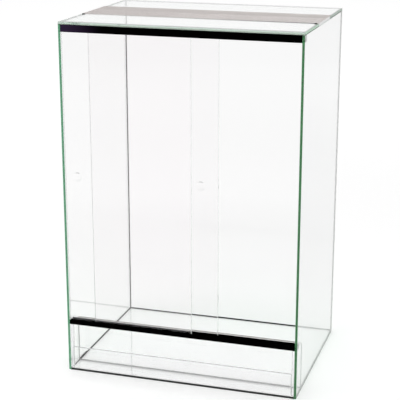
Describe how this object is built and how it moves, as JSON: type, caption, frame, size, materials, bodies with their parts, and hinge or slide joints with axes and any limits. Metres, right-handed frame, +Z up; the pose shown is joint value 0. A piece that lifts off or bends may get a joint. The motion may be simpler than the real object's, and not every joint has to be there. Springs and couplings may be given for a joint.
{
  "type": "reptile terrarium",
  "caption": "Tall frameless glass terrarium with sliding glass doors in black tracks, a vent mesh across the top and a set-back ventilated front above a low strip.",
  "frame": {"origin": "centre of the underside of the tank, on the surface that it stands on", "axes": "+Z up; -Y towards the sliding doors; +X to the right of someone who faces the doors"},
  "size_m": [0.4, 0.3, 0.6002],
  "materials": {
    "pane_glass": "clear 4 mm float glass, ground edges that read green",
    "door_glass": "clear 4 mm float glass, ground edges and a ground finger pull",
    "track_plastic": "black extruded plastic, satin",
    "vent_mesh": "plain woven fine metal mesh, dull grey",
    "dark_silicone": "black silicone, smooth, slightly glossy",
    "clear_silicone": "clear silicone, smooth"
  },
  "bodies": {
    "tank": {"base_pane": "pane_glass", "left_side_pane": "pane_glass", "right_side_pane": "pane_glass", "rear_pane": "pane_glass", "top_front_pane": "pane_glass", "top_rear_pane": "pane_glass", "front_strip": "pane_glass", "vent_pane": "pane_glass", "left_track_post": "pane_glass", "right_track_post": "pane_glass", "lower_track": "track_plastic", "upper_track": "track_plastic", "lower_mesh": "vent_mesh", "top_mesh": "vent_mesh", "base_side_seams": "dark_silicone", "base_rear_seam": "dark_silicone", "rear_corner_seams": "dark_silicone", "top_front_seams": "dark_silicone", "top_rear_seams": "clear_silicone", "front_strip_seam": "clear_silicone", "vent_pane_seam": "clear_silicone", "track_post_seams": "clear_silicone", "mesh_end_seals": "clear_silicone", "mesh_front_bead": "dark_silicone", "mesh_corner_dabs": "dark_silicone"},
    "left_door": {"left_door": "door_glass"},
    "right_door": {"right_door": "door_glass"}
  },
  "joints": [
    {"name": "left_door_slide", "type": "slide", "parent": "tank", "child": "left_door", "axis": [1, 0, 0], "range_m": [0, 0.1754]},
    {"name": "right_door_slide", "type": "slide", "parent": "tank", "child": "right_door", "axis": [1, 0, 0], "range_m": [-0.0434, 0.132]}
  ]
}
